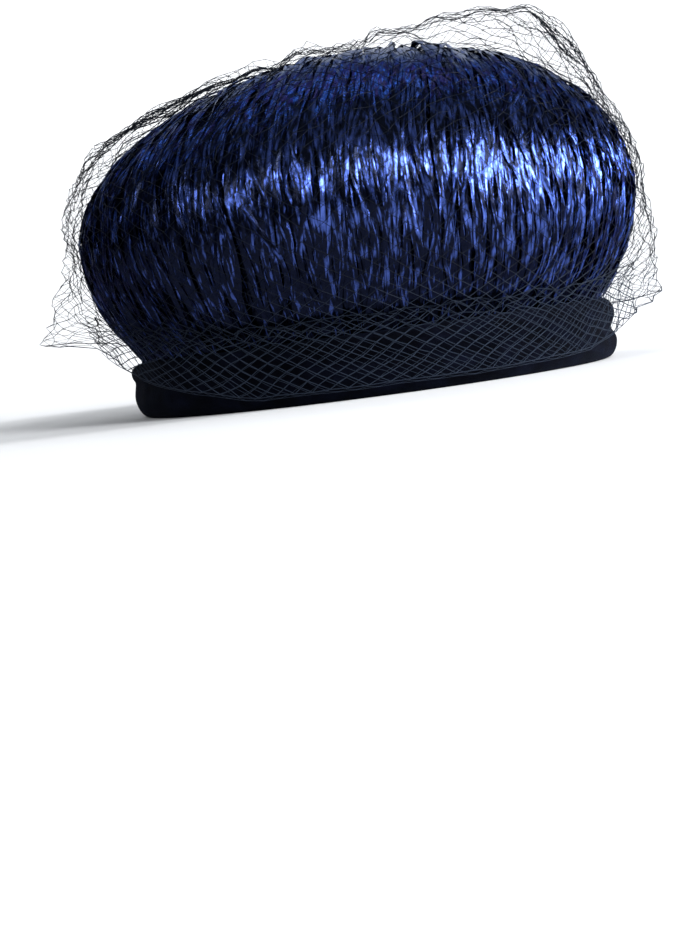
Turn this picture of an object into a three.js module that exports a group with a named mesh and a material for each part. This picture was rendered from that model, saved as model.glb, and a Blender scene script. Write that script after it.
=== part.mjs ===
// A navy toque hat of the early sixties, at its real size.
// Glossy raffia strands run from the rim up over a hollow, full-bellied crown.
// A bias strip of velvet is folded round the crown's lower edge, and a stiff net veil is thrown over it all.
// Millimetres, +Z up, the hat resting on its rim, its front towards -Y.
import * as THREE from "three";

// The opening for the head, measured inside the velvet.
const openingWidth = 159;
const openingLength = 191;

// The crown: its outside sizes at the fullest level, that level's height, and its top, which leans towards +X.
const crownWidth = 201;
const crownLength = 233;
const fullestHeight = 60;
const crownHeight = 119;
const crownLean = 11;
const strawWall = 2;
const ribCount = 48;
const ribDepth = 1.4;

// The velvet: a strip folded round the crown's edge in two soft rolls, with room under that edge.
const bandHeight = 22;
const bandWall = 2;
const bandSwell = 3.4;
const creaseDepth = 1.7;
const edgeRoom = 3.7;
const facingHeight = 17;

// The veil: its thickness, the width of the bars that stand for its threads, and how far its tallest peak stands off.
const veilWall = 1;
const veilBar = 3;
const veilPeak = 20;
const veilEase = 1.3;

// The gap between pieces that touch.
const seam = 0.3;

// Shape constants. A station is an angle up the crown: 0 at its fullest level, 90 at the top.
const undercutAngle = 33;
const crownColumns = 2 * ribCount;
const softColumns = 72;
const degrees = Math.PI / 180;

// How the velvet lies round the rim. round is degrees from the front towards +X.
// crease is the depth of the fold between the two rolls as a share of creaseDepth,
// climb how far that fold wanders up, and dip how far the top edge sinks, as shares of bandHeight.
const velvetFolds = [
  { round: 0, crease: 0.35, climb: 0.02, dip: 0.06 },
  { round: 45, crease: 0.6, climb: -0.06, dip: 0.02 },
  { round: 90, crease: 1.0, climb: 0.0, dip: 0.0 },
  { round: 140, crease: 0.7, climb: 0.08, dip: 0.05 },
  { round: 190, crease: 0.9, climb: -0.04, dip: 0.02 },
  { round: 235, crease: 0.5, climb: 0.05, dip: 0.08 },
  { round: 270, crease: 0.15, climb: 0.1, dip: 0.1 },
  { round: 315, crease: 0.45, climb: 0.04, dip: 0.08 },
];

// The outer face of the velvet, from its top edge down to its foot.
// up is a share of bandHeight, swell of bandSwell, and pinch says how much of the crease a row takes.
const velvetFace = [
  { up: 1.0, swell: 0.0, pinch: 0 },
  { up: 0.92, swell: 0.6, pinch: 0 },
  { up: 0.78, swell: 1.0, pinch: 0 },
  { up: 0.6, swell: 1.0, pinch: 0.1 },
  { up: 0.48, swell: 0.9, pinch: 1 },
  { up: 0.36, swell: 0.98, pinch: 0.15 },
  { up: 0.2, swell: 0.85, pinch: 0 },
  { up: 0.07, swell: 0.35, pinch: 0 },
];

// The folds of the veil, one row for each fold line that runs from the hem to the top.
// hem is the height of the lower edge as a share of bandHeight. The others are shares of veilPeak: flare is how far
// the lower edge stands out from the velvet, and the rest how far the veil stands off the crown at four levels.
const veilFolds = [
  { round: 0, hem: 0.14, flare: 0, belly: 0.04, shoulder: 0.06, brow: 0.12, top: 0.22 },
  { round: 26, hem: 0.14, flare: 0, belly: 0.04, shoulder: 0.07, brow: 0.3, top: 0.3 },
  { round: 51, hem: 0.2, flare: 0.06, belly: 0.06, shoulder: 0.1, brow: 0.66, top: 0.36 },
  { round: 77, hem: 0.72, flare: 0.4, belly: 0.1, shoulder: 0.14, brow: 1.0, top: 0.38 },
  { round: 90, hem: 0.95, flare: 1.1, belly: 0.12, shoulder: 0.2, brow: 0.94, top: 0.36 },
  { round: 103, hem: 0.85, flare: 0.5, belly: 0.2, shoulder: 0.26, brow: 0.56, top: 0.32 },
  { round: 129, hem: 0.8, flare: 0.34, belly: 0.3, shoulder: 0.36, brow: 0.3, top: 0.28 },
  { round: 154, hem: 0.7, flare: 0.6, belly: 0.16, shoulder: 0.22, brow: 0.34, top: 0.26 },
  { round: 180, hem: 0.6, flare: 0.3, belly: 0.3, shoulder: 0.4, brow: 0.22, top: 0.24 },
  { round: 206, hem: 0.8, flare: 0.6, belly: 0.14, shoulder: 0.24, brow: 0.34, top: 0.22 },
  { round: 231, hem: 1.0, flare: 0.4, belly: 0.32, shoulder: 0.42, brow: 0.24, top: 0.2 },
  { round: 257, hem: 1.3, flare: 0.6, belly: 0.22, shoulder: 0.36, brow: 0.2, top: 0.18 },
  { round: 270, hem: 1.4, flare: 1.6, belly: 0.2, shoulder: 0.5, brow: 0.22, top: 0.16 },
  { round: 283, hem: 1.2, flare: 0.5, belly: 0.14, shoulder: 0.4, brow: 0.16, top: 0.16 },
  { round: 309, hem: 0.5, flare: 0.16, belly: 0.06, shoulder: 0.2, brow: 0.14, top: 0.16 },
  { round: 334, hem: 0.14, flare: 0, belly: 0.04, shoulder: 0.08, brow: 0.12, top: 0.18 },
];
const veilTopShare = 0.26;

// The levels of that table, as angles up the crown.
const veilLevels = [
  { column: "belly", station: 0 },
  { column: "shoulder", station: 30 },
  { column: "brow", station: 58 },
  { column: "top", station: 82 },
];

// Stations of the meshes, from the top down to the fullest level.
const crownStations = [84, 72, 60, 48, 36, 24, 12, 0];
const crownUnderStations = [-9, -18, -26, -undercutAngle];
const liningStations = [-undercutAngle, -14, 6, 28, 52, 76];

// The veil's diamond gaps: how many round the hat, how many whole rows of them between the half gaps along the hem
// and the half gaps round the top, and the share of those rows that lies below the crown's fullest level.
const gapCount = 14;
const gapRows = 6;
const hemPoints = 4;
const skirtShare = 0.31;

// Sizes that follow from those above.
const neckOffset = bandWall + seam + strawWall;
const pocket = neckOffset + seam;
const tuckHeight = bandWall + seam + edgeRoom;
const rollOffset = pocket + bandWall + bandSwell;
const veilRollOffset = rollOffset + seam;

const smooth = (t) => t * t * (3 - 2 * t);

// The value of a column at an angle round the hat, between the rows of a table: with creases, or eased.
function around(rows, column, round, ease = (t) => t) {
  const turn = ((round % 360) + 360) % 360;
  const next = rows.findIndex((row) => row.round > turn);
  const after = next < 0 ? { ...rows[0], round: 360 + rows[0].round } : rows[next];
  const before = next < 0 ? rows.at(-1) : rows[next - 1];
  const t = (turn - before.round) / (after.round - before.round);
  return before[column] + (after[column] - before[column]) * ease(t);
}

// A point on an oval that is offset outwards from the opening.
function onRim(round, offset, height) {
  return [
    (openingWidth / 2 + offset) * Math.sin(round * degrees),
    -(openingLength / 2 + offset) * Math.cos(round * degrees),
    height,
  ];
}

// A point on the crown's outer face, moved out by a distance: an ellipse above the fullest level, an undercut below.
// The ellipse leans more and more towards its top.
function onCrown(round, station, out) {
  const across = crownWidth / 2 + out;
  const along = crownLength / 2 + out;
  const angle = station * degrees;
  let narrow = Math.cos(angle);
  let height = fullestHeight + (crownHeight - fullestHeight + out) * Math.sin(angle);
  let halfWidth = across * narrow;
  let halfLength = along * narrow;
  let lean = crownLean * Math.sin(angle) ** 2;
  if (station < 0) {
    const neck = undercutAngle * degrees;
    narrow = (1 - Math.cos(angle)) / (1 - Math.cos(neck));
    height = fullestHeight + ((fullestHeight - bandHeight) * Math.sin(angle)) / Math.sin(neck);
    halfWidth = across - (crownWidth / 2 - openingWidth / 2 - neckOffset) * narrow;
    halfLength = along - (crownLength / 2 - openingLength / 2 - neckOffset) * narrow;
    lean = 0;
  }
  return [lean + halfWidth * Math.sin(round * degrees), -halfLength * Math.cos(round * degrees), height];
}

// How far the strands' ribs stand out: alternate columns, deepest at the middle, gone at the neck and the top.
function ribRelief(round, station) {
  const share = (station + undercutAngle) / (90 + undercutAngle);
  const ridge = 0.5 + 0.5 * Math.cos(ribCount * round * degrees);
  const uneven = 0.75 + 0.25 * Math.cos(7 * round * degrees);
  return ribDepth * ridge * uneven * Math.sin(Math.PI * share);
}

// A closed surface through rings of points. A ring of one point is a pole; loop joins the last ring to the first.
function skin(rings, loop) {
  const positions = [];
  const starts = rings.map((ring) => {
    const start = positions.length / 3;
    ring.forEach((point) => positions.push(...point));
    return start;
  });
  const faces = [];
  const last = loop ? rings.length : rings.length - 1;
  for (let i = 0; i < last; i++) {
    const j = (i + 1) % rings.length;
    const columns = Math.max(rings[i].length, rings[j].length);
    for (let k = 0; k < columns; k++) {
      const next = (k + 1) % columns;
      const upper = starts[i] + (rings[i].length === 1 ? 0 : k);
      const upperNext = starts[i] + (rings[i].length === 1 ? 0 : next);
      const lower = starts[j] + (rings[j].length === 1 ? 0 : k);
      const lowerNext = starts[j] + (rings[j].length === 1 ? 0 : next);
      if (rings[j].length > 1) faces.push(upper, lower, lowerNext);
      if (rings[i].length > 1) faces.push(upper, lowerNext, upperNext);
    }
  }
  const geometry = new THREE.BufferGeometry();
  geometry.setAttribute("position", new THREE.Float32BufferAttribute(positions, 3));
  geometry.setIndex(faces);
  geometry.computeVertexNormals();
  return geometry;
}

const ring = (columns, pointAt) =>
  Array.from({ length: columns }, (_, k) => pointAt((360 * k) / columns));

// The crown: a hollow shell of strands, ribbed outside, with a straight edge that is tucked into the velvet.
function raffiaCrown() {
  const outside = [...crownStations, ...crownUnderStations].map((station) =>
    ring(crownColumns, (round) => onCrown(round, station, ribRelief(round, station))),
  );
  const inside = liningStations.map((station) =>
    ring(crownColumns, (round) => onCrown(round, station, -strawWall)),
  );
  const tuck = [neckOffset, neckOffset - strawWall].map((offset) =>
    ring(crownColumns, (round) => onRim(round, offset, tuckHeight)),
  );
  const poles = [0, -strawWall].map((out) => [onCrown(0, 90, out)]);
  return skin([poles[0], ...outside, ...tuck, ...inside, poles[1]], false);
}

// A point on the velvet's outer face, or on the inside of that wall when moved in by its thickness.
function onVelvet(round, row, inwards) {
  const fold = (column) => around(velvetFolds, column, round, smooth);
  const swell = bandSwell * row.swell - creaseDepth * row.pinch * fold("crease");
  const up = row.up + row.pinch * fold("climb") - (row.up > 0.9 ? fold("dip") : 0) * row.up;
  return onRim(round, pocket + bandWall + swell - inwards, bandHeight * up);
}

// The velvet: one wall that goes down outside the crown's edge, under it along a flat foot, and up inside it.
function velvetBand() {
  const at = (offset, height) => ring(softColumns, (round) => onRim(round, offset, height));
  const outer = velvetFace.map((row) => ring(softColumns, (round) => onVelvet(round, row, 0)));
  const inner = velvetFace
    .filter((row) => row.up * bandHeight > 2 * bandWall)
    .reverse()
    .map((row) => ring(softColumns, (round) => onVelvet(round, row, bandWall)));
  const foot = [at(pocket + bandWall / 2, 0), at(bandWall / 2, 0)];
  const facing = [
    at(0, bandWall),
    at(0, facingHeight - bandWall / 2),
    at(bandWall / 2, facingHeight),
    at(bandWall, facingHeight - bandWall / 2),
    at(bandWall, bandWall),
    at(pocket, bandWall),
  ];
  return skin([...outer, ...foot, ...facing, ...inner], true);
}

// How far the veil stands off the crown, at an angle up it.
function veilLift(round, station) {
  const upper = veilLevels.findIndex((level) => level.station >= station);
  if (upper === 0) return veilPeak * around(veilFolds, veilLevels[0].column, round);
  const below = veilLevels[upper < 0 ? veilLevels.length - 1 : upper - 1];
  const above = veilLevels[upper] ?? { station: 90 };
  const t = (station - below.station) / (above.station - below.station);
  const low = around(veilFolds, below.column, round);
  const high = above.column ? around(veilFolds, above.column, round) : veilTopShare;
  return veilPeak * (low + (high - low) * t);
}

// A point on the inside of the veil. climb runs from 0 at the hem to 1 at the highest ring of gaps.
function onVeil(round, climb) {
  if (climb >= skirtShare) {
    const station = ((climb - skirtShare) / (1 - skirtShare)) * veilLevels.at(-1).station;
    return onCrown(round, station, ribDepth + veilEase + veilLift(round, station));
  }
  const share = 1 - climb / skirtShare;
  const hem = bandHeight * around(veilFolds, "hem", round);
  const height = fullestHeight + (hem - fullestHeight) * share;
  const sine = ((height - fullestHeight) / (fullestHeight - bandHeight)) * Math.sin(undercutAngle * degrees);
  const station = Math.max(Math.asin(Math.max(sine, -1)) / degrees, -undercutAngle);
  const stand = veilLift(round, 0) * (1 - share) + veilPeak * around(veilFolds, "flare", round) * share ** 1.5;
  const overCrown = onCrown(round, station, ribDepth + veilEase + stand);
  const overBand = onRim(round, veilRollOffset + stand, height);
  const outer = Math.hypot(overCrown[0], overCrown[1]) > Math.hypot(overBand[0], overBand[1]) ? overCrown : overBand;
  return [outer[0], outer[1], height];
}

const distance = (a, b) => Math.hypot(a[0] - b[0], a[1] - b[1], a[2] - b[2]);

// A closed wall made from one open layer of faces: the layer, its copy moved out, and a rim along every edge.
function thickened(points, faces, wall) {
  const layer = new THREE.BufferGeometry();
  layer.setAttribute("position", new THREE.Float32BufferAttribute(points.flat(), 3));
  layer.setIndex(faces.flat());
  layer.computeVertexNormals();
  const normals = layer.getAttribute("normal");
  const outer = points.map((p, i) => [
    p[0] + wall * normals.getX(i),
    p[1] + wall * normals.getY(i),
    p[2] + wall * normals.getZ(i),
  ]);
  const count = points.length;
  const sides = faces.flatMap(([a, b, c]) => [[a, b], [b, c], [c, a]]);
  const taken = new Set(sides.map(([a, b]) => a * count + b));
  const rim = sides
    .filter(([a, b]) => !taken.has(b * count + a))
    .flatMap(([a, b]) => [a, b, count + b, a, count + b, count + a]);
  const inside = faces.flatMap(([a, b, c]) => [a, c, b]);
  const outside = faces.flatMap((face) => face.map((i) => i + count));
  const geometry = new THREE.BufferGeometry();
  geometry.setAttribute("position", new THREE.Float32BufferAttribute([...points, ...outer].flat(), 3));
  geometry.setIndex([...inside, ...outside, ...rim]);
  geometry.computeVertexNormals();
  return geometry;
}

// The veil: a net of bars between staggered diamond gaps. A gap is named by its row and by its half step round the
// hat. Its points are numbered from its right corner over its top, left and bottom corners, two to a side.
function netVeil() {
  const rows = gapRows + 1;
  const steps = 2 * gapCount;
  const points = [];
  const faces = [];
  const known = new Map();
  const place = (step, row) => onVeil((360 * step) / steps, row / rows);
  const face = (...corners) => {
    for (let i = 2; i < corners.length; i++) faces.push([corners[0], corners[i - 1], corners[i]]);
  };

  const point = (step, row) => {
    const turn = (step + steps) % steps;
    const key = `${turn.toFixed(6)} ${row.toFixed(6)}`;
    if (!known.has(key)) known.set(key, points.push(place(turn, row)) - 1);
    return known.get(key);
  };

  const sizes = Array.from({ length: rows + 1 }, (_, row) => {
    const nextRow = row < rows ? row + 1 : row - 1;
    const across = distance(place(0, row), place(1, row));
    const up = distance(place(0, row), place(0, nextRow));
    return { open: 1 - ((veilBar / 2) * Math.hypot(across, up)) / (across * up), edge: veilBar / up };
  });

  const corner = (row, step, quarter) => {
    const { open, edge } = sizes[row];
    const level = row === 0 ? edge : row === rows ? rows - edge : row;
    return [[step + open, level], [step, row + open], [step - open, level], [step, row - open]][quarter % 4];
  };

  const onGap = (row, step, number) => {
    const from = corner(row, step, Math.floor(number / 2));
    const to = corner(row, step, Math.ceil(number / 2));
    return point((from[0] + to[0]) / 2, (from[1] + to[1]) / 2);
  };

  const onEdge = (row, step, k, level) => {
    const right = corner(row, step, 0);
    const left = corner(row, step, 2);
    return point(left[0] + ((right[0] - left[0]) * k) / hemPoints, level ?? left[1]);
  };

  for (let row = 0; row <= rows; row++) {
    for (let step = row % 2; step < steps; step += 2) {
      const right = onGap(row, step, 0);
      const nextLeft = onGap(row, step + 2, 4);
      if (row < rows) {
        const aboveRight = (number) => onGap(row + 1, step + 1, number);
        const aboveLeft = (number) => onGap(row + 1, step - 1, number);
        face(right, aboveRight(6), aboveRight(5), onGap(row, step, 1));
        face(onGap(row, step, 1), aboveRight(5), aboveRight(4), onGap(row, step, 2));
        face(onGap(row, step, 2), aboveLeft(8), aboveLeft(7), onGap(row, step, 3));
        face(onGap(row, step, 3), aboveLeft(7), aboveLeft(6), onGap(row, step, 4));
      }
      if (row > 0 && row < rows) {
        face(right, onGap(row - 1, step + 1, 2), nextLeft, onGap(row + 1, step + 1, 6));
      }
      if (row === 0) face(right, nextLeft, onGap(1, step + 1, 6));
      if (row === rows) face(right, onGap(row - 1, step + 1, 2), nextLeft);
    }
  }

  const top = points.push(onCrown(0, 90, ribDepth + veilEase + veilPeak * veilTopShare)) - 1;
  for (let step = 0; step < steps; step += 2) {
    for (let k = 0; k <= hemPoints; k++) {
      const [stepNext, kNext] = k < hemPoints ? [step, k + 1] : [step + 2, 0];
      face(onEdge(0, step, k, 0), onEdge(0, stepNext, kNext, 0), onEdge(0, stepNext, kNext), onEdge(0, step, k));
      const last = step + (rows % 2);
      const lastNext = stepNext + (rows % 2);
      face(onEdge(rows, last, k), onEdge(rows, lastNext, kNext), top);
    }
  }
  return thickened(points, faces, veilWall);
}

function piece(name, geometry, color, roughness, metalness) {
  const material = new THREE.MeshStandardMaterial({ color, roughness, metalness });
  const mesh = new THREE.Mesh(geometry, material);
  mesh.name = name;
  return mesh;
}

const hat = new THREE.Group();
hat.name = "raffia_toque";
hat.add(piece("raffia_crown", raffiaCrown(), "#1c2a66", 0.35, 0.3));
hat.add(piece("velvet_band", velvetBand(), "#0a0f24", 0.95, 0));
hat.add(piece("net_veil", netVeil(), "#1d2540", 0.8, 0));

// The frame's origin is on the table, under the middle of the whole hat with its veil.
const middle = new THREE.Box3().setFromObject(hat).getCenter(new THREE.Vector3());
hat.position.set(-middle.x, -middle.y, 0);

export default hat;
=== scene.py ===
import math

import bpy
import numpy as np
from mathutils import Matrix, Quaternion, Vector


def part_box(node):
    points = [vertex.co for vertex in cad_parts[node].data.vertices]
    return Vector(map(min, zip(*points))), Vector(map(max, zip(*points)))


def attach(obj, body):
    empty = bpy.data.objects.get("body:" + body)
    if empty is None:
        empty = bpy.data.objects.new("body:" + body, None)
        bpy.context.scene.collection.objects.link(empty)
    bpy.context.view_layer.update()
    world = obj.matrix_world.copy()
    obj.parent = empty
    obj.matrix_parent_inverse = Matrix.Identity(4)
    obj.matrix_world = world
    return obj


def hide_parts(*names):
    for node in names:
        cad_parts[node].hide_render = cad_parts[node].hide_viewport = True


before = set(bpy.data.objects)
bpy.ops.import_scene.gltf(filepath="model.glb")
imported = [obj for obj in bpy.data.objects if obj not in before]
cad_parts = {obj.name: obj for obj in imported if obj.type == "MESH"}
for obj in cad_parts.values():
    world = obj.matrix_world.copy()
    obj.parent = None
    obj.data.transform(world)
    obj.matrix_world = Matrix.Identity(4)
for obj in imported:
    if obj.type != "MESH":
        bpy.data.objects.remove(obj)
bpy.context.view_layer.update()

# Raffia crown
# Long flattened straws of navy cellophane raffia, laid side by side in four mats from the rim to the top.
# The straws are drawn together in small tufts, hug the crown's belly and cross on a ridge over its top.
MM = 0.001
RIM_LOW, RIM_HIGH = (Vector(corner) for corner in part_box("velvet_band"))
CROWN_LOW, CROWN_HIGH = (Vector(corner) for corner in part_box("raffia_crown"))
CENTRE = (RIM_LOW + RIM_HIGH) / 2
RIB = 0.8 * MM
BELLY = ((CROWN_HIGH - CROWN_LOW) / 2).xy - Vector((RIB, RIB))
NECK_IN = 5.7 * MM
NECK = ((RIM_HIGH - RIM_LOW) / 2).xy - Vector((NECK_IN, NECK_IN))
FULLEST_HEIGHT = 60 * MM
RIM_TOP = RIM_HIGH.z
CROWN_TOP = CROWN_HIGH.z
CROWN_LEAN = 11 * MM
UNDERCUT = math.radians(33)
RIDGE = 0.58
STRAW_OVERRUN = 0.12
TUCKED_DOWN = 80 * MM
STRAW_STEPS = 44
STRAW_LAYERS = [
    {"name": "loose", "straws": 90, "width": 1.9, "out": 1.0, "stray": 2.2, "tuft": 1.0, "seed": 2},
    {"name": "outer", "straws": 430, "width": 2.0, "out": 0.4, "stray": 1.0, "tuft": 1.0, "seed": 3},
    {"name": "middle", "straws": 390, "width": 2.1, "out": -0.5, "stray": 0.8, "tuft": 0.8, "seed": 5},
    {"name": "inner", "straws": 330, "width": 4.4, "out": -1.5, "stray": 0.3, "tuft": 0.2, "seed": 8},
]
STRAW_THICKNESS = 0.4
MAT_RADIUS = 0.25
MERIDIAN_SAMPLES = 400
BELLY_GIRTH = 680
TUFT_CHANCE = 0.25
CROWDED_BELOW = 0.3
CROWDED_BLUR = 0.2
SIDE_STRAW_ENDS = (0.98, 0.9, 0.82, 0.74)
CROSSING_STRAW_ENDS = (0.955, 0.995)
STRAW_WAVES = {
    "tuft_pull": ((1.5, 4), 0.3),
    "tuft_wander": ((1, 3), 1.3),
    "tuft_lift": ((1.5, 4), 0.5),
    "tuft_rise": ((0.5, 1.5), 1.4),
    "straw_wander": ((2, 6), 0.9),
    "straw_lift": ((5, 14), 0.22),
    "short_twist": ((5, 15), 0.6),
    "long_twist": ((1, 3), 0.35),
    "narrowing": ((4, 12), 0.8),
}
FLATTENED_WIDTH = 2.1
# Painted shade: the straws' colour is darkened towards the rim, where the belly is in shade, and higher up
# on the left, away from the lamps.
PAINTED_SHADE_UP_TO = 31 * MM
PAINTED_SHADE_FADE = 40 * MM
PAINTED_SHADE_SLANT = 0.24
PAINTED_SHADE_DARKER = 0.55
PAINTED_SHADE_DIMMING = 0.2
# Painted sheen: the straws' colour is greyed towards the top of the crown.
PAINTED_SHEEN_FROM = 64 * MM
PAINTED_SHEEN_OVER = 40 * MM
PAINTED_SHEEN_SHARE = 0.68
CREASE_STRETCH = (3.2, 0.22, 3.2)
FLAKE_STRETCH = (0.55, 0.135, 0.5)
WRINKLE_STRETCH = (0.3, 0.17, 0.3)
FLAKE_LEVEL = 0.475
FLAKE_CONTRAST = 4.4
STRAW_DARK = (0.0045, 0.0062, 0.017, 1)
STRAW_BRIGHT = (0.088, 0.152, 0.56, 1)
STRAW_PAINTED_SHEEN = (0.022, 0.029, 0.053, 1)
STRAW_GLOSS_TINT = (0.28, 0.34, 0.5, 1)


def crown_profile(station):
    """The dome's share of the width, how far it is drawn in towards the neck, and the height, by station."""
    dome = np.clip(station, 0, None)
    under = np.clip(station, -UNDERCUT, 0)
    drawn_in = (1 - np.cos(under)) / (1 - math.cos(UNDERCUT))
    height = FULLEST_HEIGHT + (CROWN_TOP - FULLEST_HEIGHT) * np.sin(dome)
    height = height + (FULLEST_HEIGHT - RIM_TOP) * np.sin(under) / math.sin(UNDERCUT)
    return np.cos(dome), drawn_in, height


def on_crown(turn, station, out=0.0):
    """Points on the crown, moved out, for angles round it from the front and stations up it, in radians."""
    dome, drawn_in, height = crown_profile(station)
    across = (BELLY.x - (BELLY.x - NECK.x) * drawn_in) * dome + out * np.cos(station)
    along = (BELLY.y - (BELLY.y - NECK.y) * drawn_in) * dome + out * np.cos(station)
    below = np.clip(-UNDERCUT - station, 0, None)
    height = height + out * np.sin(station) - below * TUCKED_DOWN
    lean = CROWN_LEAN * np.sin(np.clip(station, 0, None)) ** 2
    x = CENTRE.x + lean + across * np.sin(turn)
    y = CENTRE.y - along * np.cos(turn)
    return np.stack([x, y, height], axis=-1)


def over_the_top(turn, station):
    """Carries lines that would meet in the middle of the top to a ridge from side to side."""
    ring = np.cos(station)
    across = np.sin(turn) * (RIDGE + (1 - RIDGE) * ring)
    ahead = np.cos(turn) * ring
    dome = station > 0
    new_station = np.arccos(np.clip(np.hypot(across, ahead), 0, 1))
    return np.where(dome, np.arctan2(across, ahead), turn), np.where(dome, new_station, station)


def ripple(rng, rows, at, rates, size):
    """Smooth random curves, one for each row, of four waves each. Their sum seldom passes 2.6."""
    total = np.zeros((rows, at.shape[-1]))
    for number in range(4):
        rate = rng.uniform(*rates, (rows, 1))
        shift = rng.uniform(0, math.tau, (rows, 1))
        total += np.sin(math.tau * rate * at + shift)
    return size * total / 2.6


def only(piece):
    """Makes a piece the only selected one and the active one."""
    bpy.ops.object.select_all(action="DESELECT")
    piece.select_set(True)
    bpy.context.view_layer.objects.active = piece


def places(piece):
    flat = np.empty(3 * len(piece.data.vertices))
    piece.data.vertices.foreach_get("co", flat)
    return flat.reshape(-1, 3)


def move_to(piece, points):
    piece.data.vertices.foreach_set("co", np.ascontiguousarray(points, dtype=np.float32).ravel())
    piece.data.update()


def mark(piece, name, values):
    """Keeps a number or a vector for each vertex, for the material to read."""
    values = np.asarray(values, dtype=np.float32)
    kind = "FLOAT" if values.ndim == 1 else "FLOAT_VECTOR"
    attribute = piece.data.attributes.new(name, kind, "POINT")
    attribute.data.foreach_set("value" if values.ndim == 1 else "vector", values.ravel())


def choose_upright(piece):
    """Selects a piece's edges that run from its bottom to its top, and leaves it in edit mode."""
    heights = places(piece)[:, 2]
    ends = [(edge.index, *edge.vertices) for edge in piece.data.edges]
    upright = [index for index, a, b in ends if abs(heights[a] - heights[b]) > 0.5]
    bpy.ops.object.mode_set(mode="EDIT")
    bpy.context.tool_settings.mesh_select_mode = (False, True, False)
    bpy.ops.mesh.select_all(action="DESELECT")
    bpy.ops.object.mode_set(mode="OBJECT")
    for index in upright:
        piece.data.edges[index].select = True
    bpy.ops.object.mode_set(mode="EDIT")


def straw_mat(name, count):
    """One straw with four long faces, arrayed into a mat. x counts the straws, and z runs up them to 1."""
    bpy.ops.object.select_all(action="DESELECT")
    bpy.ops.mesh.primitive_cylinder_add(
        vertices=4,
        radius=MAT_RADIUS,
        depth=1,
        end_fill_type="NGON",
        location=(0, 0, 0.5),
    )
    straw = bpy.context.object
    straw.name = straw.data.name = name
    bpy.ops.object.transform_apply(location=True)
    choose_upright(straw)
    bpy.ops.mesh.subdivide(number_cuts=STRAW_STEPS - 1)
    bpy.ops.object.mode_set(mode="OBJECT")
    array = straw.modifiers.new("mat", "ARRAY")
    array.count = count
    array.use_relative_offset = False
    array.use_constant_offset = True
    array.constant_offset_displace = (1, 0, 0)
    bpy.ops.object.modifier_apply(modifier=array.name)
    return straw


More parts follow.
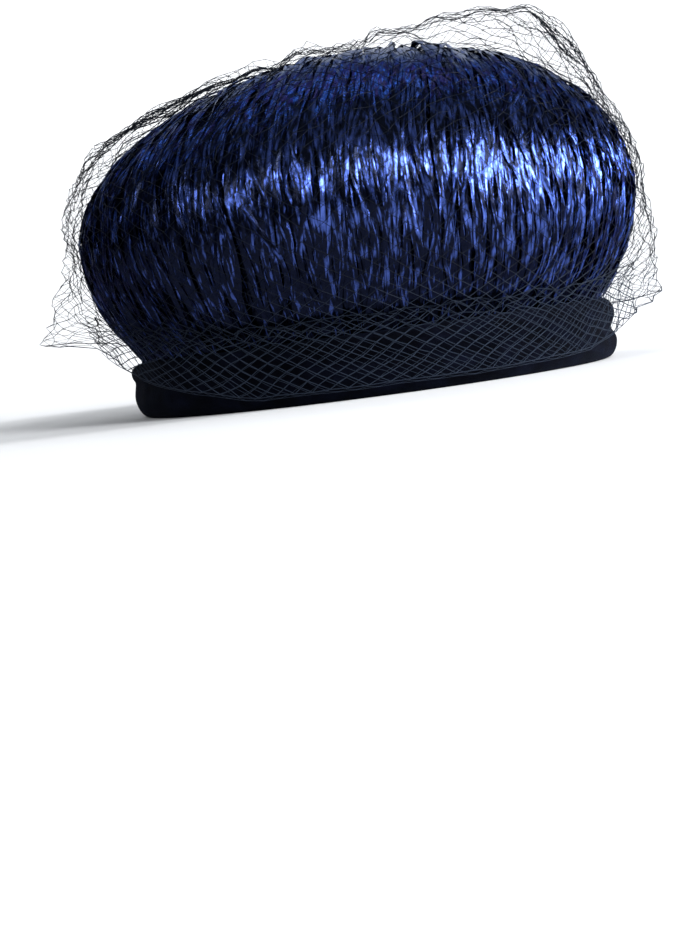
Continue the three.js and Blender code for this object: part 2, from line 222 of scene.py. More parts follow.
def lay_straws(layer):
    """Lays a mat of straws over the crown, tufted and twisted."""
    count = layer["straws"]
    rng = np.random.default_rng(layer["seed"])
    mat = straw_mat(f"raffia_{layer['name']}_straws", count)
    co = places(mat)
    number = np.clip(np.rint(co[:, 0]).astype(int), 0, count - 1)
    across = (co[:, 0] - number) / MAT_RADIUS
    upward = co[:, 1] / MAT_RADIUS
    step = np.rint(co[:, 2] * STRAW_STEPS).astype(int)

    # One meridian measured along its length gives the straws even steps.
    stations = np.linspace(-UNDERCUT - STRAW_OVERRUN, math.pi / 2 + STRAW_OVERRUN, MERIDIAN_SAMPLES)
    meridian = on_crown(np.full(len(stations), math.pi / 4), stations)
    lengths = np.concatenate([[0], np.cumsum(np.linalg.norm(np.diff(meridian, axis=0), axis=1))])
    lengths = lengths / lengths[-1]
    ridge = np.interp(math.pi / 2, stations, lengths)

    # Straws of the front and the back cross the ridge. At the sides, where they crowd, most end before it.
    order = np.arange(count)
    kinds = [order % 8 == 0, order % 4 == 0, order % 2 == 0]
    thinned = np.select(kinds, SIDE_STRAW_ENDS[:3], SIDE_STRAW_ENDS[3]) * ridge
    room = np.abs(np.cos(math.tau * order / count))
    crowded = room <= CROWDED_BELOW + CROWDED_BLUR * rng.uniform(0, 1, count)
    ends = np.where(crowded, thinned, rng.uniform(*CROSSING_STRAW_ENDS, count))
    along = np.linspace(0, 1, STRAW_STEPS + 1)
    reach = ends[:, None] * along[None, :]
    station = np.interp(reach, lengths, stations)

    # Tufts draw about four straws together, more in some places than in others.
    tuft = np.cumsum(rng.uniform(0, 1, count) < TUFT_CHANCE)
    tuft -= tuft[0]
    tuft_middle = np.array([order[tuft == t].mean() for t in range(tuft.max() + 1)])[tuft]
    tufts = tuft.max() + 1
    spacing = BELLY_GIRTH / count
    pull = layer["tuft"] * (0.3 + ripple(rng, tufts, reach[:1], *STRAW_WAVES["tuft_pull"])[tuft])
    wander = ripple(rng, count, reach, *STRAW_WAVES["straw_wander"])
    wander = (wander + ripple(rng, tufts, reach[:1], *STRAW_WAVES["tuft_wander"])[tuft]) * layer["stray"]
    seat = order[:, None] + (tuft_middle - order)[:, None] * pull + wander / spacing
    turn = math.tau * seat / count
    ring = np.cos(station)
    width_left = np.hypot(np.cos(turn) * (RIDGE + (1 - RIDGE) * ring), np.sin(turn) * ring)
    crowd = np.clip(np.where(station > 0, width_left, 1), 0.5, 1)
    turn, station = over_the_top(turn, station)

    # Tufts rise from the mat on top of the crown, and the straws' ends lie down.
    free = np.clip((1 - along) / 0.2, 0, 1)
    tuft_lift = ripple(rng, tufts, reach[:1], *STRAW_WAVES["tuft_lift"])[tuft]
    tuft_rise = np.abs(ripple(rng, tufts, reach[:1], *STRAW_WAVES["tuft_rise"])[tuft])
    tuft_lift = (tuft_lift + tuft_rise * np.sin(station).clip(0)) * free
    tucked = np.clip((along[None, :] - 0.95) / 0.05, 0, 1) * np.where(ends < 0.97, 1.6, 0.5)[:, None]
    settled = (1 - free) * max(layer["out"], 0)
    straw_lift = ripple(rng, count, reach, *STRAW_WAVES["straw_lift"])
    out = (layer["out"] + tuft_lift + straw_lift - tucked - settled) * MM

    middle = on_crown(turn, station, out)
    ahead = np.gradient(middle, axis=1)
    ahead /= np.linalg.norm(ahead, axis=-1, keepdims=True)
    outward = on_crown(turn, station, out + MM) - middle
    outward -= ahead * (outward * ahead).sum(-1, keepdims=True)
    outward /= np.linalg.norm(outward, axis=-1, keepdims=True)
    side = np.cross(ahead, outward)

    # A straw twists by turns, nearly flat and then over on its side. Wide ones and ends twist less.
    twist = ripple(rng, count, reach, *STRAW_WAVES["short_twist"])
    twist += ripple(rng, count, reach, *STRAW_WAVES["long_twist"])
    twist *= min(1, FLATTENED_WIDTH / layer["width"]) * (0.4 + 0.6 * free)
    narrow = 1 - 0.3 * np.clip(ripple(rng, count, reach, *STRAW_WAVES["narrowing"]), 0, 1)
    half_width = layer["width"] * MM / 2 * narrow * crowd * rng.uniform(0.75, 1.2, (count, 1))
    half_thick = STRAW_THICKNESS * MM / 2

    i, k = number, step
    flat = side[i, k] * np.cos(twist[i, k])[:, None] + outward[i, k] * np.sin(twist[i, k])[:, None]
    up = outward[i, k] * np.cos(twist[i, k])[:, None] - side[i, k] * np.sin(twist[i, k])[:, None]
    points = middle[i, k] + flat * (across * half_width[i, k])[:, None] + up * (upward * half_thick)[:, None]
    move_to(mat, points)

    # The look reads a place on the straw, in about millimetres. Each straw has its own part of the pattern.
    tone = rng.uniform(0, 1, count)
    mark(mat, "straw_tone", tone[i])
    lie = np.stack([across * 0.6 * layer["width"] + 7 * i, 190 * reach[i, k], upward * 0.3 + 3 * i], axis=-1)
    mark(mat, "straw_lie", lie)
    return mat


class Value:
    """A socket that sums, differences, products and limits can be written with."""

    def __init__(self, look, socket):
        self.look = look
        self.socket = socket

    def math(self, operation, other=0.0, swap=False, clamp=False):
        first, second = (other, self) if swap else (self, other)
        settings = {"operation": operation, "use_clamp": clamp}
        return self.look.add("ShaderNodeMath", settings, {0: first, 1: second})

    def __add__(self, other):
        return self.math("ADD", other)

    __radd__ = __add__

    def __sub__(self, other):
        return self.math("SUBTRACT", other)

    def __rsub__(self, other):
        return self.math("SUBTRACT", other, swap=True)

    def __mul__(self, other):
        return self.math("MULTIPLY", other)

    __rmul__ = __mul__

    def limited(self):
        return self.math("ADD", 0.0, clamp=True)


class Look:
    """A material with one Principled surface, and the one way of adding nodes to it."""

    def __init__(self, name, **surface):
        self.material = bpy.data.materials.new(name)
        self.material.use_nodes = True
        self.tree = self.material.node_tree
        self.surface = self.tree.nodes["Principled BSDF"]
        for socket, value in surface.items():
            self.surface.inputs[socket.replace("_", " ")].default_value = value

    def set_inputs(self, node, inputs):
        for key, value in inputs.items():
            if isinstance(value, Value):
                self.tree.links.new(value.socket, node.inputs[key])
            else:
                node.inputs[key].default_value = value

    def add(self, kind, settings=None, inputs=None, output=0):
        node = self.tree.nodes.new(kind)
        for key, value in (settings or {}).items():
            setattr(node, key, value)
        self.set_inputs(node, inputs or {})
        return Value(self, node.outputs[output])

    def kept(self, name, vector=False):
        return self.add("ShaderNodeAttribute", {"attribute_name": name}, output=1 if vector else 2)

    def place(self):
        """Object coordinates."""
        return self.add("ShaderNodeTexCoord", output=3)

    def apart(self, vector, axis):
        """One coordinate of a place: 0 across, 1 along or 2 up."""
        return self.add("ShaderNodeSeparateXYZ", None, {0: vector}, output=axis)

    def stretched(self, vector, scale):
        return self.add("ShaderNodeMapping", None, {"Vector": vector, "Scale": scale})

    def noise(self, vector, scale, detail=2.0, roughness=0.5):
        inputs = {"Vector": vector, "Scale": scale, "Detail": detail, "Roughness": roughness}
        return self.add("ShaderNodeTexNoise", None, inputs)

    def between(self, share, low, high):
        """A colour part of the way from one colour to another."""
        node = {"data_type": "RGBA"}
        return self.add("ShaderNodeMix", node, {0: share, 6: low, 7: high}, output=2)

    def finish(self, **sockets):
        self.set_inputs(self.surface, {key.replace("_", " "): value for key, value in sockets.items()})
        return self.material

    def bumped(self, height, distance, strength):
        inputs = {"Height": height, "Distance": distance, "Strength": strength}
        return self.add("ShaderNodeBump", None, inputs)


def cellophane():
    """Navy cellophane: dark and glossy, creased lengthwise, with painted shade low down and on the left, and
    a painted grey sheen on top.
    """
    look = Look("navy_cellophane", Metallic=0.94, IOR=1.5, Coat_Weight=0.02, Coat_Roughness=0.12)
    look.surface.inputs["Specular Tint"].default_value = STRAW_GLOSS_TINT
    lie = look.kept("straw_lie", vector=True)
    tone = look.kept("straw_tone")
    creases = look.noise(look.stretched(lie, CREASE_STRETCH), 1.0, 3, 0.6)
    flakes = look.noise(look.stretched(lie, FLAKE_STRETCH), 1.0, 2)
    wrinkles = look.noise(look.stretched(lie, WRINKLE_STRETCH), 1.0, 1)
    share = (tone * 0.2 + (flakes - FLAKE_LEVEL) * FLAKE_CONTRAST).limited()
    place = look.place()
    height = look.apart(place, 2)
    sideways = look.apart(place, 0)
    # Painted shade low on the crown and on its left side. The same mask also makes the straws a little
    # rougher there.
    painted_shade_low = 1 - ((height + sideways * PAINTED_SHADE_SLANT - PAINTED_SHADE_UP_TO) * (1 / PAINTED_SHADE_FADE)).limited()
    share = ((share - painted_shade_low * PAINTED_SHADE_DARKER) * (1 - painted_shade_low * PAINTED_SHADE_DIMMING)).limited()
    colour = look.between(share, STRAW_DARK, STRAW_BRIGHT)
    # Painted grey sheen on the top of the crown.
    painted_sheen_top = ((height - PAINTED_SHEEN_FROM) * (1 / PAINTED_SHEEN_OVER)).limited()
    colour = look.between(painted_sheen_top * PAINTED_SHEEN_SHARE, colour, STRAW_PAINTED_SHEEN)
    rough = 0.10 + flakes * 0.18 + painted_shade_low * 0.06
    bump = look.bumped(creases * 0.2 + wrinkles * 1.6, 0.0007, 0.6)
    return look.finish(Base_Color=colour, Roughness=rough, Normal=bump)


raffia = cellophane()
straws = [lay_straws(layer) for layer in STRAW_LAYERS]
for mat in straws:
    mat.data.materials.append(raffia)
    only(mat)
    bpy.ops.object.shade_smooth_by_angle(angle=math.radians(50))
    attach(mat, "root")
    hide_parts("raffia_crown")

# Velvet rim
# A bias strip of near-black navy velvet, folded round the straws' ends in two soft rolls and slip-stitched
# inside. It puckers as it goes round, and its fold on the table is the rim that the hat stands on.
VELVET_TURNS = 256
VELVET_SHADE = (0.0008, 0.0011, 0.0026, 1)
VELVET_PILE = (0.0026, 0.0038, 0.010, 1)
VELVET_SHEEN = (0.2, 0.3, 0.6, 1)
PUCKER_RATES = (17, 23, 31, 44, 59, 83)
PUCKER = 0.34
PUFF_DEPTH = 0.8
PINCH_DEPTH = 1.6
ROLL_HEIGHT = 22
VELVET_FOLDS = [
    {"round": 0, "crease": 0.35, "climb": 0.02, "dip": 0.06},
    {"round": 45, "crease": 0.6, "climb": -0.06, "dip": 0.02},
    {"round": 90, "crease": 1.0, "climb": 0.0, "dip": 0.0},
    {"round": 140, "crease": 0.7, "climb": 0.08, "dip": 0.05},
    {"round": 190, "crease": 0.9, "climb": -0.04, "dip": 0.02},
    {"round": 235, "crease": 0.5, "climb": 0.05, "dip": 0.08},
    {"round": 270, "crease": 0.15, "climb": 0.1, "dip": 0.1},
    {"round": 315, "crease": 0.45, "climb": 0.04, "dip": 0.08},
]
VELVET_SECTION = [
    {"in": 6.6, "up": 20.6, "puff": 0.0, "pinch": 0.0},
    {"in": 5.6, "up": 21.6, "puff": 0.0, "pinch": 0.0},
    {"in": 4.2, "up": 21.8, "puff": 0.2, "pinch": 0.0},
    {"in": 2.2, "up": 20.9, "puff": 0.5, "pinch": 0.0},
    {"in": 0.8, "up": 19.2, "puff": 0.8, "pinch": 0.0},
    {"in": 0.1, "up": 17.0, "puff": 1.0, "pinch": 0.0},
    {"in": 0.1, "up": 14.6, "puff": 1.0, "pinch": 0.15},
    {"in": 0.5, "up": 12.4, "puff": 0.9, "pinch": 0.6},
    {"in": 0.9, "up": 10.9, "puff": 0.8, "pinch": 1.0},
    {"in": 0.5, "up": 9.4, "puff": 0.9, "pinch": 0.6},
    {"in": 0.1, "up": 7.4, "puff": 1.0, "pinch": 0.15},
    {"in": 0.3, "up": 5.2, "puff": 0.9, "pinch": 0.0},
    {"in": 1.1, "up": 2.8, "puff": 0.6, "pinch": 0.0},
    {"in": 2.4, "up": 0.9, "puff": 0.3, "pinch": 0.0},
    {"in": 3.9, "up": 0.0, "puff": 0.0, "pinch": 0.0},
    {"in": 6.2, "up": 0.0, "puff": 0.0, "pinch": 0.0},
    {"in": 8.5, "up": 0.1, "puff": 0.0, "pinch": 0.0},
    {"in": 9.7, "up": 1.2, "puff": 0.0, "pinch": 0.0},
    {"in": 10.0, "up": 3.0, "puff": 0.0, "pinch": 0.0},
    {"in": 10.0, "up": 7.0, "puff": 0.3, "pinch": 0.0},
    {"in": 10.0, "up": 12.0, "puff": 0.3, "pinch": 0.0},
    {"in": 10.0, "up": 15.6, "puff": 0.0, "pinch": 0.0},
    {"in": 9.3, "up": 16.8, "puff": 0.0, "pinch": 0.0},
    {"in": 8.2, "up": 15.8, "puff": 0.0, "pinch": 0.0},
    {"in": 8.0, "up": 9.0, "puff": 0.0, "pinch": 0.0},
    {"in": 7.8, "up": 2.6, "puff": 0.0, "pinch": 0.0},
    {"in": 5.4, "up": 2.4, "puff": 0.0, "pinch": 0.0},
    {"in": 5.2, "up": 9.0, "puff": 0.0, "pinch": 0.0},
]


def fold_value(column, degrees_round):
    rounds = [row["round"] for row in VELVET_FOLDS]
    return np.interp(degrees_round, rounds, [row[column] for row in VELVET_FOLDS], period=360)


def velvet_rim():
    """A torus whose small circle is drawn into the section of the folded strip, puckered round the rim."""
    rows = len(VELVET_SECTION)
    bpy.ops.object.select_all(action="DESELECT")
    bpy.ops.mesh.primitive_torus_add(
        major_segments=VELVET_TURNS,
        minor_segments=rows,
        major_radius=1,
        minor_radius=0.2,
        location=(0, 0, 0),
    )
    rim = bpy.context.object
    rim.name = rim.data.name = "velvet_rim"
    co = places(rim)
    turn = np.arctan2(co[:, 1], co[:, 0])
    small = np.arctan2(co[:, 2], np.hypot(co[:, 0], co[:, 1]) - 1)
    row = np.rint(-small / math.tau * rows).astype(int) % rows
    section = {key: np.array([line[key] for line in VELVET_SECTION])[row] for key in VELVET_SECTION[0]}

    rng = np.random.default_rng(21)
    around = (turn / math.tau) % 1
    degrees_round = 360 * around
    pucker = np.zeros(len(co))
    for rate in PUCKER_RATES:
        shift = rng.uniform(0, math.tau)
        slant = rng.uniform(-0.12, 0.12)
        pucker += np.sin(math.tau * rate * around + shift + slant * section["up"]) / rate**0.4
    pucker *= PUCKER
    crease = fold_value("crease", degrees_round)
    inward = section["in"] + section["pinch"] * PINCH_DEPTH * crease - section["puff"] * PUFF_DEPTH * pucker
    rise = section["up"] + section["pinch"] * ROLL_HEIGHT * fold_value("climb", degrees_round)
    top = np.clip((section["up"] - 16) / 6, 0, 1) * (section["in"] < 7)
    rise = rise - top * (ROLL_HEIGHT * fold_value("dip", degrees_round) + 0.5 * np.abs(pucker))
    half = (RIM_HIGH - RIM_LOW) / 2
    x = CENTRE.x + (half.x - inward * MM) * np.sin(turn)
    y = CENTRE.y - (half.y - inward * MM) * np.cos(turn)
    move_to(rim, np.stack([x, y, rise * MM], axis=-1))
    only(rim)
    bpy.ops.object.mode_set(mode="EDIT")
    bpy.ops.mesh.select_all(action="SELECT")
    bpy.ops.mesh.normals_make_consistent(inside=False)
    bpy.ops.object.mode_set(mode="OBJECT")
    smooth = rim.modifiers.new("soft", "SUBSURF")
    smooth.levels = smooth.render_levels = 1
    bpy.ops.object.modifier_apply(modifier=smooth.name)
    bpy.ops.object.shade_smooth()
    return rim


def velvet():
    """Pile that drinks the light, brushed this way and that in patches, with a faint sheen."""
    look = Look(
        "navy_velvet",
        Metallic=0.0,
        Specular_IOR_Level=0.02,
        Sheen_Weight=0.02,
        Sheen_Roughness=0.4,
    )
    look.surface.inputs["Sheen Tint"].default_value = VELVET_SHEEN
    place = look.place()
    patches = look.noise(look.stretched(place, (1, 1, 1.6)), 95, 3, 0.55)
    pile = look.noise(place, 2600, 2, 0.7)
    share = ((patches - 0.42) * 2.6 + (pile - 0.5) * 0.5).limited()
    colour = look.between(share, VELVET_SHADE, VELVET_PILE)
    rough = 0.82 + pile * 0.14
    bump = look.bumped(pile + patches * 2.0, 0.0006, 0.5)
    return look.finish(Base_Color=colour, Roughness=rough, Normal=bump)


rim = velvet_rim()
rim.data.materials.append(velvet())
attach(rim, "root")
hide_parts("velvet_band")

# Net veil
# Stiff diamond veiling of fine navy thread, one strip thrown round the hat and joined along the ridge. In
# front its edge is turned up over the velvet and caught above it. Elsewhere it stands off the crown in sharp
# creases, with a corner out on each side.
VEIL_COLUMNS = 90
VEIL_RINGS = 37
COLUMN_SAMPLES = 120
TURN_UP_COLUMNS = 74
TURN_UP_RINGS = 7
TURN_UP_FROM = -74
TURN_UP_SPAN = 150
THREAD = 0.24 * MM
FINEST_THREAD = 0.15 * MM
HEM_THREAD = 0.5 * MM
CREASES = 7
CREASE_RATES = (5, 27)
CREASE_SLANT = 24
CREASE_DEPTH = 4.4 * MM
PUFF_HEIGHT = 4.5 * MM
THREAD_DARK = (0.0008, 0.0013, 0.0028, 1)
THREAD_PALE = (0.023, 0.032, 0.052, 1)
PALE_BELOW = 24 * MM
PALE_FADE = 12 * MM
VEIL_PEAK = 20
VEIL_EASE = 3.0
VEIL_TOP = 88.5
VEIL_SKIRT = 0.34
VEIL_LEVELS = [0, 30, 58, 82, 90]
VEIL_TOP_SHARE = 0.26
VEIL_COLUMN_NAMES = ("round", "hem", "flare", "belly", "shoulder", "brow", "top")
VEIL_FOLDS = [
    (0, 0.14, 0, 0.04, 0.06, 0.12, 0.22),
    (26, 0.14, 0, 0.04, 0.07, 0.3, 0.3),
    (51, 0.2, 0.06, 0.06, 0.1, 0.66, 0.36),
    (77, 0.72, 0.4, 0.1, 0.14, 1.0, 0.38),
    (90, 0.95, 1.1, 0.12, 0.2, 0.94, 0.36),
    (103, 0.85, 0.5, 0.2, 0.26, 0.56, 0.32),
    (129, 0.8, 0.34, 0.3, 0.36, 0.3, 0.28),
    (154, 0.7, 0.6, 0.16, 0.22, 0.34, 0.26),
    (180, 0.6, 0.3, 0.3, 0.4, 0.22, 0.24),
    (206, 0.8, 0.6, 0.14, 0.24, 0.34, 0.22),
    (231, 1.0, 0.4, 0.32, 0.42, 0.24, 0.2),
    (257, 1.3, 0.6, 0.22, 0.36, 0.2, 0.18),
    (270, 1.4, 1.6, 0.2, 0.5, 0.22, 0.16),
    (283, 1.2, 0.5, 0.14, 0.4, 0.16, 0.16),
    (309, 0.5, 0.16, 0.06, 0.2, 0.14, 0.16),
    (334, 0.14, 0, 0.04, 0.08, 0.12, 0.18),
]


def veil_fold(column, turn):
    """A column of the veil's table between its fold lines, which stay sharp."""
    rows = np.array(VEIL_FOLDS)
    place = VEIL_COLUMN_NAMES.index(column)
    return np.interp(np.degrees(turn) % 360, rows[:, 0], rows[:, place], period=360)


def on_veil(turn, share):
    """Points on the veil's form, from 0 at its lower edge to 1 where it is drawn up on top."""
    station = np.radians(VEIL_TOP) * np.clip((share - VEIL_SKIRT) / (1 - VEIL_SKIRT), 0, 1)
    levels = [veil_fold(column, turn) for column in ("belly", "shoulder", "brow", "top")]
    levels.append(np.full_like(turn, VEIL_TOP_SHARE))
    lift = levels[0].copy()
    for k in range(4):
        low, high = np.radians(VEIL_LEVELS[k]), np.radians(VEIL_LEVELS[k + 1])
        step = np.clip((station - low) / (high - low), 0, 1)
        lift = np.where(station > low, levels[k] + (levels[k + 1] - levels[k]) * step, lift)
    upper = on_crown(turn, station, (VEIL_EASE + VEIL_PEAK * lift) * MM)

    down = np.clip(1 - share / VEIL_SKIRT, 0, 1)
    hem = RIM_TOP * veil_fold("hem", turn)
    height = FULLEST_HEIGHT + (hem - FULLEST_HEIGHT) * down
    sine = (height - FULLEST_HEIGHT) / (FULLEST_HEIGHT - RIM_TOP) * math.sin(UNDERCUT)
    tucked = np.maximum(np.arcsin(np.clip(sine, -1, 0)), -UNDERCUT)
    stand = (levels[0] * (1 - down) + veil_fold("flare", turn) * down**1.2) * VEIL_PEAK * MM
    dome, drawn_in, _ = crown_profile(tucked)
    rim_half = ((RIM_HIGH - RIM_LOW) / 2).xy + Vector((0.5, 0.5)) * MM
    crown_x = (BELLY.x - (BELLY.x - NECK.x) * drawn_in) + VEIL_EASE * MM
    crown_y = (BELLY.y - (BELLY.y - NECK.y) * drawn_in) + VEIL_EASE * MM
    across = np.maximum(crown_x, rim_half.x) + stand
    along = np.maximum(crown_y, rim_half.y) + stand
    lower = np.stack([CENTRE.x + across * np.sin(turn), CENTRE.y - along * np.cos(turn), height], axis=-1)
    return np.where((share < VEIL_SKIRT)[:, None], lower, upper)


def even_share(turn, climb):
    """The share on the veil's form at a share of the way along each of its columns, measured on the net."""
    samples = np.linspace(0, 1, COLUMN_SAMPLES)
    keys, which = np.unique(np.round(turn, 4), return_inverse=True)
    shares = np.empty_like(climb)
    for k, angle in enumerate(keys):
        line = on_veil(np.full(COLUMN_SAMPLES, angle), samples)
        lengths = np.concatenate([[0], np.cumsum(np.linalg.norm(np.diff(line, axis=0), axis=1))])
        mine = which.ravel() == k
        shares[mine] = np.interp(climb[mine] * lengths[-1], lengths, samples)
    return shares


def diamond_net(name, columns, rings):
    """An open tube of square faces, each poked and its old edges dissolved, which leaves diamonds."""
    bpy.ops.object.select_all(action="DESELECT")
    bpy.ops.mesh.primitive_cylinder_add(
        vertices=columns,
        radius=1,
        depth=1,
        end_fill_type="NOTHING",
        location=(0, 0, 0.5),
    )
    net = bpy.context.object
    net.name = net.data.name = name
    bpy.ops.object.transform_apply(location=True)
    choose_upright(net)
    bpy.ops.mesh.subdivide(number_cuts=rings - 1)
    bpy.ops.mesh.select_all(action="SELECT")
    bpy.ops.mesh.poke()
    bpy.ops.mesh.select_all(action="DESELECT")
    bpy.ops.object.mode_set(mode="OBJECT")
    ring = np.array([v.co.z * rings for v in net.data.vertices])
    whole = np.abs(ring - np.rint(ring)) < 0.2
    for edge in net.data.edges:
        a, b = edge.vertices
        at_end = abs(ring[a] - ring[b]) < 0.2 and (ring[a] < 0.2 or ring[a] > rings - 0.2)
        edge.select = bool(whole[a] and whole[b] and not at_end)
    bpy.ops.object.mode_set(mode="EDIT")
    bpy.ops.mesh.dissolve_edges(use_verts=False)
    bpy.ops.object.mode_set(mode="OBJECT")
    return net


def threads(net, thickness):
    """Leaves a net's edges as threads, as thick at each knot as given."""
    only(net)
    group = net.vertex_groups.new(name="thickness")
    for index, value in enumerate((thickness - FINEST_THREAD) / (HEM_THREAD - FINEST_THREAD)):
        group.add([index], float(value), "REPLACE")
    wire = net.modifiers.new("threads", "WIREFRAME")
    wire.thickness = HEM_THREAD
    wire.vertex_group = group.name
    wire.thickness_vertex_group = FINEST_THREAD / HEM_THREAD
    wire.use_even_offset = False
    wire.use_boundary = True
    wire.use_replace = True
    bpy.ops.object.modifier_apply(modifier=wire.name)
    bpy.ops.object.shade_smooth_by_angle(angle=math.radians(60))


def crumple(turn, share, rng):
    """Creases of a stiff net: sharp ridges that run at a slant, flat between."""
    total = np.zeros(len(turn))
    for number in range(CREASES):
        rate = rng.integers(*CREASE_RATES)
        slant = rng.uniform(-CREASE_SLANT, CREASE_SLANT)
        wave = np.sin(rate * turn + slant * share + rng.uniform(0, math.tau))
        total += (1 - 2 * np.abs(wave)) / CREASES
    return total


def net_veil():
    """The net's columns, laid up the veil's form and over the top to the ridge, where both sides meet."""
    net = diamond_net("net_veil_threads", VEIL_COLUMNS, VEIL_RINGS)
    co = places(net)
    rng = np.random.default_rng(11)
    turn = np.arctan2(co[:, 0], -co[:, 1]) % math.tau
    climb = co[:, 2] * (0.58 + 0.42 * co[:, 2])
    share = even_share(turn, climb)
    sewn = np.clip(14 * (1 - share), 0, 1)
    station = (share - VEIL_SKIRT) / (1 - VEIL_SKIRT) * math.pi / 2
    turn, station = over_the_top(turn, station)
    turn = turn % math.tau
    share = np.clip(VEIL_SKIRT + station / math.radians(VEIL_TOP) * (1 - VEIL_SKIRT), 0, 1)
    front = np.clip((np.cos(turn) - 0.3) / 0.3, 0, 1)
    low = np.clip((VEIL_SKIRT + 0.15 - share) / 0.2, 0, 1)
    slack = (1 - 0.85 * front * low) * sewn
    skew = 0.02 * np.sin(5 * turn + 7 * share) + 0.013 * np.sin(11 * turn - 9 * share)
    skew += rng.normal(0, 0.009, len(turn))
    uneven = 0.006 * np.sin(17 * turn + 5 * share) + rng.normal(0, 0.0035, len(turn))
    points = on_veil(turn + skew * slack, np.clip(share + slack * uneven, 0, 1))
    outward = points - np.array(CENTRE.to_2d().to_3d() + Vector((0, 0, 50 * MM)))
    outward /= np.linalg.norm(outward, axis=1, keepdims=True)
    points += outward * (slack * CREASE_DEPTH * crumple(turn, share, rng))[:, None]
    puff = crumple(points[:, 0] / BELLY.x, np.zeros_like(turn), rng) * (1 - front * low)
    points[:, 2] += PUFF_HEIGHT * puff * np.clip((share - 0.6) / 0.35, 0, 1)
    move_to(net, points)

    # The hem is folded double where it stands free, and the net is drawn thin over the ridge.
    thickness = THREAD - (THREAD - FINEST_THREAD) * np.clip((share - 0.7) / 0.2, 0, 1)
    hem = co[:, 2] < 0.001
    threads(net, np.where(hem, THREAD + (HEM_THREAD - THREAD) * (1 - front), thickness))
    return net


def net_thread():
    """Stiffened thread, matt navy, paler low down, where it is folded over the rim."""
    look = Look("navy_net_thread", Metallic=0.0, Specular_IOR_Level=0.06)
    place = look.place()
    uneven = look.noise(place, 420, 2)
    fibre = look.noise(place, 5200, 2)
    # The threads are paler below about 24 mm, towards the rim.
    paler_low = 1 - ((look.apart(place, 2) - PALE_BELOW) * (1 / PALE_FADE)).limited()
    share = (uneven * 0.25 + paler_low * 0.7).limited()
    colour = look.between(share, THREAD_DARK, THREAD_PALE)
    bump = look.bumped(fibre, 0.0001, 0.4)
    return look.finish(Base_Color=colour, Roughness=0.5 + uneven * 0.3, Normal=bump)


def veil_turn_up():
    """The veil's front edge, folded up over the rim in two laps and caught in a line above the velvet."""
    fold = diamond_net("net_veil_turn_up", TURN_UP_COLUMNS, TURN_UP_RINGS)
    co = places(fold)
    rng = np.random.default_rng(17)
    lap = np.arctan2(co[:, 0], -co[:, 1]) / math.pi
    up = co[:, 2]
    turn = np.radians(TURN_UP_FROM + TURN_UP_SPAN * np.abs(lap)) + 0.012 * np.sin(23 * np.abs(lap) + 9 * up)
    layer = np.where(lap > 0, 1.0, 0.0)
    tangle = ripple(rng, TURN_UP_RINGS + 1, turn[None, :], (4, 14), 1.0)
    wobble = tangle[np.rint(up * TURN_UP_RINGS).astype(int), np.arange(len(turn))]
    caught = np.clip((up - 0.62) / 0.38, 0, 1)
    share = 0.006 + 0.15 * up + 0.001 * layer - 0.02 * caught + 0.008 * wobble * (0.15 + caught)
    points = on_veil(turn, np.clip(share, 0, 1))
    outward = np.stack([np.sin(turn), -np.cos(turn), np.zeros_like(turn)], axis=-1)
    points += outward * ((0.5 + 0.1 * layer - 1.8 * caught + 0.9 * wobble * caught) * MM)[:, None]
    move_to(fold, points)
    threads(fold, np.full(len(co), THREAD))
    return fold


thread_look = net_thread()
turn_up = veil_turn_up()
veil = net_veil()
for net in (turn_up, veil):
    net.data.materials.append(thread_look)
    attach(net, "root")
    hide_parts("net_veil")

# Table and light
# A plain pale board that curves up behind the hat. The strong lamps stand at the front right and at the
# right, with weak ones at the left and low down, and one that keeps the board behind bright.
BOARD_LENGTH = 6
BOARD_RISE = 4
BOARD_SWEEP = 1.2
BOARD_GREY = (0.57, 0.585, 0.605, 1)
BOARD_WHITE = (0.61, 0.62, 0.635, 1)
ROOM_COLOUR = (0.93, 0.965, 1.0, 1)
ROOM_LIGHT = 0.19
bpy.ops.object.select_all(action="DESELECT")
bpy.ops.mesh.primitive_plane_add(size=BOARD_LENGTH, location=(0, 0, 0))
table = bpy.context.object
table.name = table.data.name = "table_top"
bpy.ops.object.mode_set(mode="EDIT")
bpy.ops.mesh.select_all(action="DESELECT")
bpy.ops.object.mode_set(mode="OBJECT")
for edge in table.data.edges:
    edge.select = all(table.data.vertices[v].co.y > 0.4 * BOARD_LENGTH for v in edge.vertices)
bpy.ops.object.mode_set(mode="EDIT")
bpy.context.tool_settings.mesh_select_mode = (False, True, False)
bpy.ops.mesh.extrude_region_move(TRANSFORM_OT_translate={"value": (0, 0, BOARD_RISE)})
bpy.ops.object.mode_set(mode="OBJECT")
curve = table.modifiers.new("sweep", "BEVEL")
curve.width = BOARD_SWEEP
curve.segments = 12
bpy.ops.object.modifier_apply(modifier=curve.name)
bpy.ops.object.shade_smooth()


def painted_board():
    """Matt paint, a little uneven."""
    look = Look("white_board", Specular_IOR_Level=0.2)
    grain = look.noise(look.place(), 9, 3)
    colour = look.between(grain.limited(), BOARD_GREY, BOARD_WHITE)
    return look.finish(Base_Color=colour, Roughness=0.7 + grain * 0.1)


table.data.materials.append(painted_board())

world = bpy.data.worlds.new("white_room")
world.use_nodes = True
world.node_tree.nodes["Background"].inputs["Color"].default_value = ROOM_COLOUR
world.node_tree.nodes["Background"].inputs["Strength"].default_value = ROOM_LIGHT
bpy.context.scene.world = world

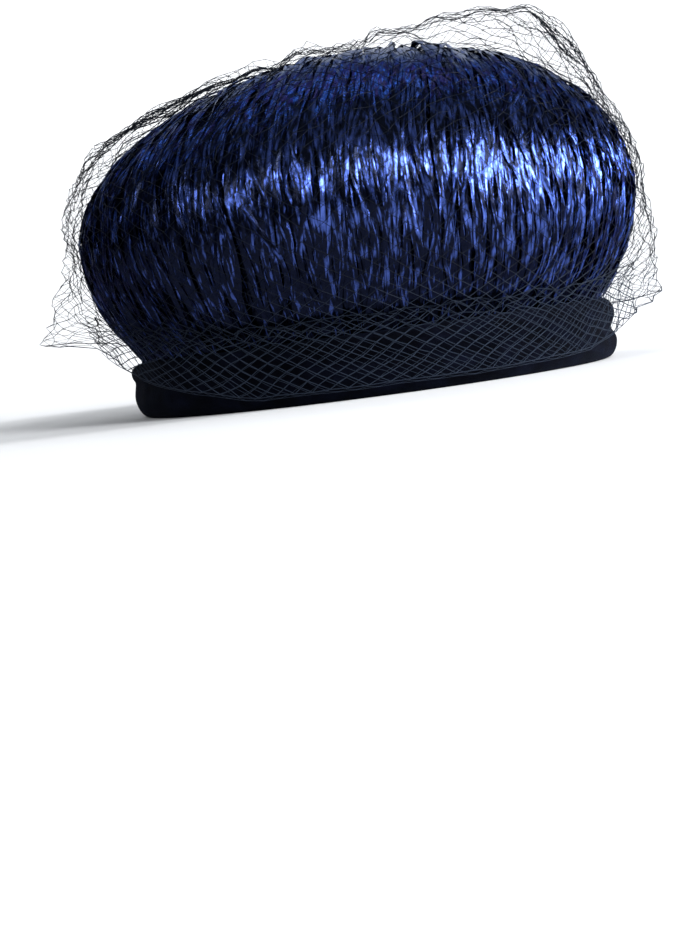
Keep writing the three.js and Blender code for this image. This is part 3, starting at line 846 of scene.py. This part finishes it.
LAMPS = [
    {"name": "key_lamp", "at": (0.98, -1.46, 1.15), "aim": (0, 0, 0.06), "size": (0.6, 1.2), "watts": 48},
    {"name": "side_lamp", "at": (1.75, -0.5, 0.55), "aim": (0, 0, 0.06), "size": (0.5, 1.2), "watts": 66},
    {"name": "fill_lamp", "at": (-0.75, -1.3, 1.0), "aim": (0, 0, 0.06), "size": (0.3, 0.8), "watts": 9},
    {"name": "low_lamp", "at": (1.3, 0.3, 0.3), "aim": (0, 0, 0.05), "size": (0.6, 0.5), "watts": 13},
    {"name": "backdrop_lamp", "at": (0, 1.3, 2.0), "aim": (0, 3, 0.5), "size": (2.0, 2.0), "watts": 75},
]
for lamp in LAMPS:
    bpy.ops.object.light_add(type="AREA", location=lamp["at"])
    light = bpy.context.object
    light.name = light.data.name = lamp["name"]
    light.data.shape = "RECTANGLE"
    light.data.size, light.data.size_y = lamp["size"]
    light.data.energy = lamp["watts"]
    aim = Vector(lamp["aim"]) - light.location
    light.rotation_euler = aim.to_track_quat("-Z", "Y").to_euler()

# Camera
# It stands just above the board in front of the hat and is rolled as the photograph is. The middle of the
# rim is at the pixel that it has there, high in the frame.
DISTANCE = 0.64
EYE_HEIGHT = 22 * MM
PIXEL = 0.373 * MM
FRAME_HEIGHT = 926
ROLL = math.radians(-7.5)
RIM_PIXEL = (378, 385)
MIDDLE_PIXEL = (350, 463)
image_right = Vector((math.cos(ROLL), 0, math.sin(ROLL)))
image_up = Vector((-math.sin(ROLL), 0, math.cos(ROLL)))
rim_middle = Vector((CENTRE.x, CENTRE.y, 0))
target = rim_middle + PIXEL * (
    image_right * (MIDDLE_PIXEL[0] - RIM_PIXEL[0]) + image_up * (RIM_PIXEL[1] - MIDDLE_PIXEL[1])
)
bpy.ops.object.camera_add(location=rim_middle + Vector((0, -DISTANCE, EYE_HEIGHT)))
camera = bpy.context.object
camera.name = camera.data.name = "photo_camera"
aim = target - camera.location
camera.rotation_mode = "QUATERNION"
camera.rotation_quaternion = aim.to_track_quat("-Z", "Y") @ Quaternion((0, 0, 1), ROLL)
camera.data.clip_start = 0.01
camera.data.lens = camera.data.sensor_width * DISTANCE / (FRAME_HEIGHT * PIXEL)
bpy.context.scene.camera = camera
bpy.context.scene.view_settings.view_transform = "Standard"
